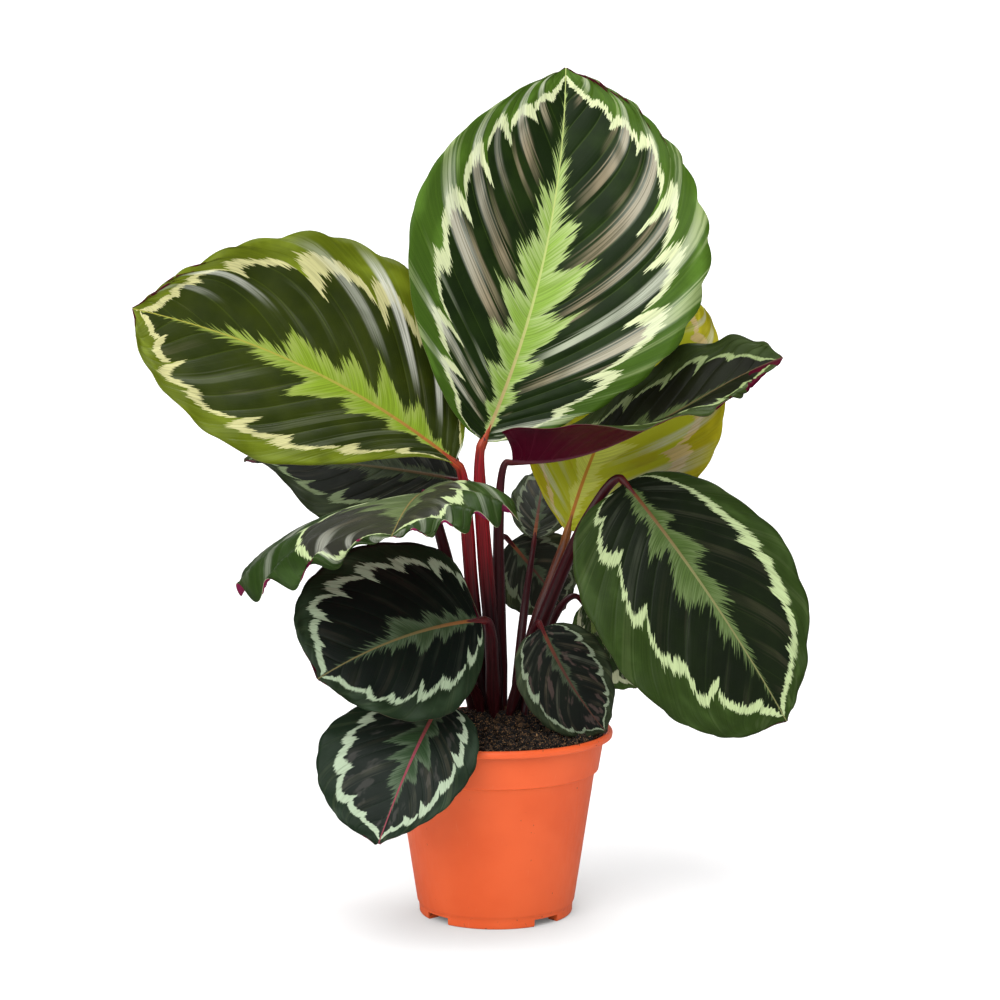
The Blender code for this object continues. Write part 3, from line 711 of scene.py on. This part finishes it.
def leaf_frame(spec):
    """Base point, chord, length, and the directions along, out of and across the blade."""
    base = np.array(spec["base"], float)
    chord = np.array(spec["tip"], float) - base
    length = np.linalg.norm(chord)
    along = chord / length
    out = np.array(spec["face"], float)
    out = unit(out - (out @ along) * along)
    return base, chord, length, along, out, np.cross(along, out)


def midrib(spec, u):
    """Points of the midrib; u runs from 0 at the base to 1 at the tip."""
    base, chord, length, _, out, across = leaf_frame(spec)
    u = np.asarray(u, float)[..., None]
    bow = 4.0 * u * (1.0 - u)
    lift = spec["arch"] * bow + spec["curl"] * 2.0 * bow * (2.0 * u - 1.0)
    return base + chord * u + out * length * lift + across * length * spec["sway"] * bow


def half_width(spec, u, side):
    a, near, far = spec["forms"][side > 0]
    u = np.clip(u, 0.0, 1.0)
    belly = np.sin(math.pi * u ** a) ** (near + (far - near) * u)
    return spec["halves"][side > 0] * belly + BASE_HALF_WIDTH * (1.0 - u) + TIP_HALF_WIDTH * u


def vein_place(s, t):
    """How far along the blade the side vein from s has come at t of its way to the margin."""
    end = 1.0 - (1.0 - s ** VEIN_SPREAD) ** VEIN_BEND
    late = np.maximum(VEIN_CURVE[1], VEIN_CURVE[0] * (1.0 - s))
    return s + (end - s) * t ** late


def vein_rank(s):
    """Number, in shares of the whole, of the side vein that leaves the midrib at s."""
    return s ** VEIN_CROWDING


def blade_point(spec, s, t, side):
    """Points of the blade's upper face.

    s is where a side vein leaves the midrib, t runs from the midrib to the margin along that
    vein, and side is -1 left or +1 right of the midrib with the tip held upwards.
    """
    u = vein_place(s, t)
    _, _, length, _, _, across = leaf_frame(spec)
    step = 0.001
    ahead = unit(midrib(spec, u + step) - midrib(spec, u - step))
    across = unit(across - (ahead @ across)[..., None] * ahead)
    out = np.cross(across, ahead)
    turn = np.radians(spec["twist"][0] * (1.0 - u) + spec["twist"][1] * u)[..., None]
    turned_across = across * np.cos(turn) + out * np.sin(turn)
    turned_out = out * np.cos(turn) - across * np.sin(turn)

    # Each half is an arc in cross-section: fold is its slope at the midrib, bend its whole turn
    cup = spec["cups"][side > 0]
    bend = np.radians(cup[0] * (1.0 - u) + cup[1] * u)
    bend = np.where(np.abs(bend) < 0.001, 0.001, bend)
    fold = math.radians(spec["fold"])
    width = half_width(spec, u, side)
    radius = width / bend
    reach = radius * (np.sin(fold + bend * t) - math.sin(fold))
    rise = radius * (math.cos(fold) - np.cos(fold + bend * t))

    # Waves and scallops of the margin, the slant of the half, and the drawn-out point
    height, count, left_phase, right_phase = spec["wave"]
    beat = 1.0 - np.clip(1.0 - u, 0.0, 1.0) ** (1.0 / MARGIN_BEND)
    fading = np.sin(math.pi * np.clip(beat, 0.0, 1.0) ** 0.8) ** 0.6
    phase = right_phase if side > 0 else left_phase
    rise = rise + height * t ** 2.5 * fading * np.sin(2.0 * math.pi * count * beat + phase)
    scallop = np.abs(np.sin(math.pi * spec["veins"] * vein_rank(s))) - 0.6
    reach = reach + spec["frills"][side > 0] * scallop * t ** 5 * np.minimum(1.0, width / 20.0)
    slant = spec["lead"][side > 0] * length * t ** 2
    slant = slant * np.minimum(1.0, 12.0 * u) * np.minimum(1.0, 12.0 * (1.0 - s))
    slant = slant + TIP_REACH * ramp(u, 0.9, 1.0) ** 2 * hump(reach, 3.5)
    return (midrib(spec, u) + turned_across * (side * reach)[..., None]
            + turned_out * rise[..., None] + ahead * slant[..., None])


def placed(name, data):
    """Object in the scene for a mesh, a light or a camera."""
    obj = bpy.data.objects.new(name, data)
    bpy.context.scene.collection.objects.link(obj)
    return obj


def show(name, bm, materials, smooth=True):
    """Mesh object at the origin from a bmesh in metres."""
    mesh = bpy.data.meshes.new(name)
    bm.to_mesh(mesh)
    bm.free()
    obj = placed(name, mesh)
    for mat in materials:
        mesh.materials.append(mat)
    if smooth:
        mesh.shade_smooth()
    return obj


def stand_for(piece, slot, *nodes):
    """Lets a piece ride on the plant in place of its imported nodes."""
    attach(piece, "root")
    if nodes:
        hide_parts(*nodes)


def make_blade(name, spec, marking, seed):
    """Blade as a fine sheet that swells between its side veins, with thickness and a midrib."""
    finish = LOOKS[spec["look"]]
    columns, rows = spec["fine"]
    bm = bmesh.new()
    bmesh.ops.create_grid(bm, x_segments=columns, y_segments=2 * rows, size=1.0)
    x = np.array([v.co.x for v in bm.verts])
    y = np.array([v.co.y for v in bm.verts])
    s = np.clip(0.5 * (x + 1.0), 0.0, 1.0) ** COLUMN_CROWDING
    t = np.clip(np.abs(y), 0.0, 1.0) ** ROW_CROWDING
    right = y > 0.0
    places = np.where(right[:, None], blade_point(spec, s, t, 1), blade_point(spec, s, t, -1))
    u = vein_place(s, t)
    widths = np.where(right, half_width(spec, u, 1), half_width(spec, u, -1))
    from_rib = t * widths
    for vert, place in zip(bm.verts, places):
        vert.co = Vector(place * MM)
    bm.normal_update()
    facing = sum((f.normal * f.calc_area() for f in bm.faces), Vector())
    if facing.dot(Vector(leaf_frame(spec)[4])) < 0.0:
        bmesh.ops.reverse_faces(bm, faces=bm.faces[:])
        bm.normal_update()

    ranks = vein_rank(s)
    swell = np.abs(np.sin(math.pi * spec["veins"] * ranks)) ** 0.7 - 0.6
    swell = spec["ripple"] * swell * np.sin(math.pi * np.clip(t, 0.0, 1.0) ** 0.8) ** 0.7
    ridge = RIDGE_HEIGHT * hump(from_rib, RIDGE_WIDTH) * (1.0 - 0.7 * s)
    for vert, lift in zip(bm.verts, swell * np.minimum(1.0, widths / 12.0) + ridge):
        vert.co += vert.normal * float(lift) * MM

    veins = bm.loops.layers.uv.new("veins")
    span = bm.loops.layers.uv.new("span")
    length = leaf_frame(spec)[2]
    sign = np.where(right, 1.0, -1.0)
    for face in bm.faces:
        for loop in face.loops:
            i = loop.vert.index
            loop[veins].uv = (ranks[i], 0.5 + 0.5 * sign[i] * t[i])
            loop[span].uv = (u[i] * length * MM, 0.5 + sign[i] * from_rib[i] * MM)
    obj = show(name + "_leaf", bm, (blade_material(name, spec, finish, marking, seed),
                                    underside_material(name, spec, finish, marking),
                                    edge_material(name, finish)))
    stout = obj.vertex_groups.new(name="stout")
    plain = (BLADE_THICKNESS - EDGE_THICKNESS) / (MIDRIB_THICKNESS - EDGE_THICKNESS)
    rib = (1.0 - s) * (1.0 - np.minimum(1.0, from_rib / MIDRIB_SPREAD) ** 2)
    for i, weight in enumerate(np.maximum(plain * (1.0 - t ** 4), rib)):
        stout.add([i], float(weight), "REPLACE")
    shell = obj.modifiers.new("thickness", "SOLIDIFY")
    shell.thickness = MIDRIB_THICKNESS * MM
    shell.vertex_group = "stout"
    shell.thickness_vertex_group = EDGE_THICKNESS / MIDRIB_THICKNESS
    shell.offset = -1.0
    shell.use_rim = True
    shell.material_offset = 1
    shell.material_offset_rim = 2
    stand_for(obj, spec["slot"], name + "_blade")


def stalk_line(spec):
    """Centre line of a stalk and its run under the midrib, with its radii."""
    x, y = spec["root"]
    start = np.array((x, y, STALK_STRAIGHT), float)
    rise = np.array(spec["rise"], float)
    last = unit(midrib(spec, 0.002) - midrib(spec, 0.0))
    under = unit(np.cross(leaf_frame(spec)[5], last))
    end = midrib(spec, 0.0) - last * JOINT_GAP - under * 0.5 * MIDRIB_THICKNESS
    top = end - last * STALK_END
    reach = top - last * spec["neck"]
    points = [np.array((x, y, STALK_FOOT), float)]
    for k in np.linspace(0.0, 1.0, STALK_STEPS + 1):
        points.append(start * (1 - k) ** 3 + 3 * rise * k * (1 - k) ** 2
                      + 3 * reach * k * k * (1 - k) + top * k ** 3)
    points.append(end)
    foot, head = spec["radii"]
    radii = [foot + (head - foot) * min(1.0, 1.6 * max(0, i - 1) / (STALK_STEPS + 1))
             for i in range(len(points))]
    for run in RIB_STATIONS:
        place = midrib(spec, run * RIB_RUN / leaf_frame(spec)[2])
        points.append(place - under * (0.5 * MIDRIB_THICKNESS * (1.0 - 0.3 * run)))
        radii.append(head + (RIB_END_RADIUS - head) * run ** 0.7)
    return np.array(points), np.array(radii)


def make_stalk(name, spec, mat, chance):
    """Stalk as a tube with a flattened sheath below and a swollen joint under the blade."""
    line, radii = stalk_line(spec)
    ahead = unit(np.gradient(line, axis=0))
    sideways = unit(np.cross(ahead, np.array((0.15, -1.0, 0.1))))
    forward = np.cross(sideways, ahead)
    steps = len(line) - 1
    bm = bmesh.new()
    bmesh.ops.create_grid(bm, x_segments=steps, y_segments=STALK_SIDES, size=1.0)
    seam = chance.uniform(0.0, 2.0 * math.pi)
    uv = bm.loops.layers.uv.new("stalk")
    for face in bm.faces:
        for loop in face.loops:
            loop[uv].uv = (0.5 * (loop.vert.co.x + 1.0), 0.5 * (loop.vert.co.y + 1.0))
    for vert in bm.verts:
        i = min(steps, int(round(0.5 * (vert.co.x + 1.0) * steps)))
        k = i / steps
        angle = math.pi * vert.co.y
        sheath = ramp(k, *SHEATH_START) * ramp(k, *SHEATH_END) ** 0.8
        away = (angle - seam + math.pi) % (2.0 * math.pi) - math.pi
        lip = sheath * (0.16 * hump(away, 0.22) - 0.12 * hump(away - 0.5, 0.2))
        joint = 0.1 * hump(k - JOINT_PLACE, 0.035)
        size = radii[i] * (1.0 + joint + lip + 0.03 * math.sin(23.0 * k + seam))
        wide = size * (1.0 + 0.5 * sheath)
        place = line[i] + sideways[i] * math.cos(angle) * wide + forward[i] * math.sin(angle) * size
        vert.co = Vector(place * MM)
    bmesh.ops.remove_doubles(bm, verts=bm.verts[:], dist=0.00002)
    bmesh.ops.holes_fill(bm, edges=[e for e in bm.edges if e.is_boundary], sides=0)
    bmesh.ops.recalc_face_normals(bm, faces=bm.faces[:])
    stand_for(show(name + "_stem", bm, (mat,)), spec["stalk"], name + "_stalk")


def soil_height(r, x=0.0, y=0.0):
    """Height of the soil's surface at r from the pot's axis, with its lumps."""
    level = np.interp(r, [p[0] for p in SOIL_PROFILE], [p[1] for p in SOIL_PROFILE])
    lumps = noise.fractal(Vector((x, y, 4.0)) * 0.09, 0.7, 2.1, 4)
    clods = noise.noise(Vector((x, y, 11.0)) * 0.35)
    calm = 1.0 - 0.7 * ramp(r, 54.0, 62.0)
    return SOIL_TOP + float(level) + float(calm) * (1.5 * lumps + 0.9 * clods)


def turned(bm, profile, steps):
    """Solid of revolution in the bmesh from a closed-on-axis profile of (radius, height)."""
    verts = [bm.verts.new((r * MM, 0.0, z * MM)) for r, z in profile]
    edges = [bm.edges.new(pair) for pair in zip(verts, verts[1:])]
    bmesh.ops.spin(bm, geom=verts + edges, cent=(0, 0, 0), axis=(0, 0, 1),
                   angle=2.0 * math.pi, steps=steps, use_merge=True)
    bmesh.ops.remove_doubles(bm, verts=bm.verts[:], dist=0.00002)
    bmesh.ops.recalc_face_normals(bm, faces=bm.faces[:])


def make_soil():
    """Bed of soil with a lumpy top that closes round the stalks."""
    top = [(SOIL_RADIUS * i / SOIL_RINGS, SOIL_TOP) for i in range(SOIL_RINGS + 1)]
    bm = bmesh.new()
    turned(bm, top + [(SOIL_RADIUS - 3.2, SOIL_BOTTOM), (0.0, SOIL_BOTTOM)], SOIL_STEPS)
    for vert in bm.verts:
        if vert.co.z > (SOIL_TOP - 1.0) * MM:
            x, y = vert.co.x / MM, vert.co.y / MM
            vert.co.z = soil_height(math.hypot(x, y), x, y) * MM
    peat = soil_material("peat", (0.004, 0.0025, 0.0015), (0.024, 0.012, 0.005), 160.0)
    stand_for(show("soil_bed", bm, (peat,)), "soil_peat", "soil")


def repeated(shape, doublings):
    """Copies of a shape in one bmesh, each with its own number in a layer."""
    number = shape.verts.layers.int.new("number")
    for k in range(doublings):
        made = bmesh.ops.duplicate(shape, geom=shape.verts[:] + shape.edges[:] + shape.faces[:])
        for item in made["geom"]:
            if isinstance(item, bmesh.types.BMVert):
                item[number] += 2 ** k
    return number


def scattered(name, shape, count, mat, chance, size, stretch, lift):
    """Many small copies of a shape, lying on the soil at random places and turns."""
    number = repeated(shape, int(math.log2(count)))
    spins, places, scales = [], [], []
    for _ in range(count):
        r = (SOIL_RADIUS - 2.2) * math.sqrt(chance.random())
        angle = chance.uniform(0.0, 2.0 * math.pi)
        x, y = r * math.cos(angle), r * math.sin(angle)
        grow = size[0] + (size[1] - size[0]) * chance.random() ** 2.2
        places.append(Vector((x, y, soil_height(r, x, y) + lift * grow)))
        axis = Vector((chance.gauss(0, 1), chance.gauss(0, 1), chance.gauss(0, 1))).normalized()
        roll = chance.uniform(0.0, 2.0 * math.pi)
        rolled = Vector((math.cos(roll), math.sin(roll), 0.2))
        spins.append(Vector((1, 0, 0)).rotation_difference(axis).to_matrix()
                     @ Vector((0, 0, 1)).rotation_difference(rolled).to_matrix())
        scales.append(Vector([grow * chance.uniform(*stretch[i]) for i in range(3)]))
    for vert in shape.verts:
        i = vert[number]
        vert.co = (places[i] + spins[i] @ (vert.co * scales[i])) * MM
    shape.verts.layers.int.remove(number)
    stand_for(show(name, shape, (mat,), smooth=False), "soil_peat")


def make_crumbs(chance):
    """Crumbs of peat, thin fibres and pale grains on the soil."""
    crumb, fibre, grain = bmesh.new(), bmesh.new(), bmesh.new()
    for ball in (crumb, grain):
        bmesh.ops.create_icosphere(ball, subdivisions=1, radius=1.0)
    scattered("soil_crumbs", crumb, CRUMBS,
              soil_material("peat_crumbs", (0.0015, 0.001, 0.0006), (0.075, 0.04, 0.016), 240.0),
              chance, (0.5, 3.4), ((0.5, 1.3),) * 3, 0.3)
    bmesh.ops.create_cone(fibre, segments=4, radius1=1.0, radius2=0.5, depth=2.0, cap_ends=True)
    long_edges = [e for e in fibre.edges if abs(e.verts[0].co.z - e.verts[1].co.z) > 1.0]
    bmesh.ops.subdivide_edges(fibre, edges=long_edges, cuts=4)
    for vert in fibre.verts:
        vert.co.x += 3.0 * vert.co.z ** 2
    scattered("soil_fibres", fibre, FIBRES,
              soil_material("peat_fibres", (0.05, 0.025, 0.01), (0.17, 0.095, 0.04), 90.0),
              chance, (0.22, 0.5), ((0.5, 1.0), (0.5, 1.0), (6.0, 14.0)), 1.2)
    scattered("soil_grains", grain, GRAINS,
              soil_material("pale_grains", (0.16, 0.1, 0.05), (0.32, 0.22, 0.11), 300.0),
              chance, (0.25, 0.75), ((0.6, 1.3),) * 3, 1.8)


def heading(angle):
    """Direction in the floor's plane at an angle in degrees from +X."""
    return Vector((math.cos(math.radians(angle)), math.sin(math.radians(angle)), 0.0))


def arc(centre, radius, start, end, steps):
    """Points of an arc in the profile's plane; angles in degrees from outwards to up."""
    turns = [math.radians(start + (end - start) * i / steps) for i in range(steps + 1)]
    return [(centre[0] + radius * math.cos(a), centre[1] + radius * math.sin(a)) for a in turns]


def off(corner, out, up):
    """Point of the pot's section at an offset from a corner."""
    return corner[0] + out, corner[1] + up


def pot_section():
    """Closed section of the pot as (radius, height), from the floor's middle over the rim."""
    inside = [(0.0, FLOOR_TOP), (BODY_BOTTOM[0] - 3.0, FLOOR_TOP),
              (BODY_BOTTOM[0] - WALL, FLOOR_TOP + 1.4), off(BODY_TOP, -WALL, 0.0),
              off(COLLAR_BOTTOM, -WALL, 1.2), off(COLLAR_TOP, -WALL, -0.4), off(RIM, -3.6, -1.0)]
    lip = arc(off(RIM, -2.0, -2.0), 2.0, 110, 0, 8) + arc(off(RIM, -1.2, -3.4), 1.0, -10, -90, 4)
    fillet = [off(COLLAR_TOP, 0.8, 0.05), off(COLLAR_TOP, 0.2, -0.25)]
    step = arc(off(COLLAR_BOTTOM, -0.75, 0.2), 0.75, 0, -80, 4)
    waist = [off(BODY_TOP, 0.5, 0.15), off(BODY_TOP, 0.05, -0.5)]
    foot = [off(BODY_BOTTOM, 0.1, 0.7), off(BODY_BOTTOM, -0.2, 0.0),
            off(BODY_BOTTOM, -0.8, -0.7), (BODY_BOTTOM[0] - 1.1, 3.4)]
    foot += arc((FOOT_RADIUS + 0.6, 1.0), 1.0, -10, -90, 4)
    under = [(RECESS_OUTER, 0.0), (RECESS_OUTER - 0.6, RECESS_DEPTH),
             (RECESS_INNER + 0.4, RECESS_DEPTH), (RECESS_INNER, 0.0), (0.0, 0.0)]
    return inside + lip + fillet + step + waist + foot + under


def make_pot():
    """Nursery pot turned from its section, with notches in the foot ring and drain holes."""
    bm = bmesh.new()
    turned(bm, pot_section(), POT_STEPS)
    pot = show("pot_shell", bm, (pot_material(),))
    cuts = bmesh.new()
    for angle in NOTCH_ANGLES:
        made = bmesh.ops.create_cube(cuts, size=1.0)["verts"]
        bmesh.ops.scale(cuts, verts=made, vec=Vector((14.0, NOTCH_WIDTH, 2.0 * NOTCH_HEIGHT)) * MM)
        bmesh.ops.translate(cuts, verts=made, vec=Vector((RECESS_OUTER + 5.0, 0.0, 0.0)) * MM)
        turn = Vector((1, 0, 0)).rotation_difference(heading(angle))
        bmesh.ops.rotate(cuts, verts=made, cent=(0, 0, 0), matrix=turn.to_matrix())
    for i in range(DRAIN_COUNT):
        made = bmesh.ops.create_cone(cuts, cap_ends=True, segments=24, radius1=DRAIN_RADIUS * MM,
                                     radius2=DRAIN_RADIUS * MM, depth=6.0 * MM)["verts"]
        centre = heading(360.0 * i / DRAIN_COUNT) * DRAIN_CIRCLE
        centre.z = 0.5 * (RECESS_DEPTH + FLOOR_TOP)
        bmesh.ops.translate(cuts, verts=made, vec=centre * MM)
    cutter = show("pot_cuts", cuts, (), smooth=False)
    cut = pot.modifiers.new("cut", "BOOLEAN")
    cut.operation = "DIFFERENCE"
    cut.solver = "EXACT"
    cut.object = cutter
    bpy.context.view_layer.update()
    done = bpy.data.meshes.new_from_object(pot.evaluated_get(bpy.context.evaluated_depsgraph_get()))
    pot.modifiers.clear()
    pot.data = done
    bpy.data.objects.remove(cutter, do_unlink=True)
    done.shade_smooth()
    done.set_sharp_from_angle(angle=math.radians(SHARP_ANGLE))
    stand_for(pot, "pot_plastic", "pot")


def make_stage():
    """Pale seamless floor that curves up behind the plant."""
    mat, tree, shader = blank_material("paper_white")
    coat(shader, blend(ray(tree, "Is Glossy Ray"), (0.9, 0.9, 0.9), (0.25, 0.25, 0.25)), 0.85)
    seen = blend(ray(tree, "Is Camera Ray"), (0.0, 0.0, 0.0), (1.0, 1.0, 1.0))
    supply(shader, {"Emission Color": seen, "Emission Strength": 0.08})
    bm = bmesh.new()
    bmesh.ops.create_grid(bm, x_segments=2, y_segments=60, size=STAGE_HALF)
    for vert in bm.verts:
        back = vert.co.y - CURVE_START
        if back > 0.0:
            bend = min(back, CURVE_RUN) / CURVE_RUN * 0.5 * math.pi
            vert.co.y = CURVE_START + CURVE_RADIUS * math.sin(bend)
            vert.co.z = CURVE_RADIUS * (1.0 - math.cos(bend)) + max(0.0, back - CURVE_RUN)
    floor = show("backdrop", bm, (mat,))


def add_lamp(data, direction):
    """Lamp object for the light's data, shining along the direction."""
    lamp = placed(data.name, data)
    lamp.rotation_euler = Vector(direction).to_track_quat("-Z", "Y").to_euler()
    return lamp


def area_light(name, place, size, power):
    """Soft lamp that looks at the middle of the plant; place and size are in metres."""
    data = bpy.data.lights.new(name, "AREA")
    data.shape = "RECTANGLE"
    data.size, data.size_y = size
    data.energy = power
    add_lamp(data, Vector(PLANT_MIDDLE) - Vector(place)).location = place


def make_light():
    """Soft studio light: a big key at the left front, a fill at the right and one from above."""
    data = bpy.data.lights.new("key", "SUN")
    data.energy = KEY_STRENGTH
    data.angle = math.radians(KEY_SPREAD)
    add_lamp(data, -Vector(KEY_FROM))
    area_light("fill", (1.6, -1.0, 0.8), (0.5, 1.2), 1.2)
    area_light("top", (0.3, 0.5, 1.9), (1.2, 0.8), 14.0)
    world = bpy.data.worlds.new("studio")
    world.use_nodes = True
    sky = world.node_tree.nodes["Background"]
    strength = ray(world.node_tree, "Is Camera Ray") * (1.0 - AMBIENT) + AMBIENT
    strength = ray(world.node_tree, "Is Glossy Ray") * (MIRRORED - AMBIENT) + strength
    supply(sky, {"Color": (1.0, 1.0, 1.0, 1.0), "Strength": strength})
    bpy.context.scene.world = world
    bpy.context.scene.view_settings.view_transform = "Standard"


def make_camera():
    data = bpy.data.cameras.new("camera")
    data.lens = CAMERA_LENS
    data.sensor_width = SENSOR
    camera = placed("camera", data)
    camera.location = Vector(CAMERA_PLACE) * MM
    camera.rotation_euler = (math.radians(90.0 - CAMERA_PITCH), 0.0, 0.0)
    bpy.context.scene.camera = camera


def main():
    chance = random.Random(11)
    make_camera()
    make_light()
    make_stage()
    make_pot()
    make_soil()
    make_crumbs(chance)
    marking = marking_group()
    stems = {name: stalk_material("stem_" + name, *colors) for name, colors in STEMS.items()}
    for i, (name, spec) in enumerate(LEAVES.items()):
        make_blade(name, spec, marking, 7.3 * i)
        make_stalk(name, spec, stems[LOOKS[spec["look"]]["stem"]], chance)


main()
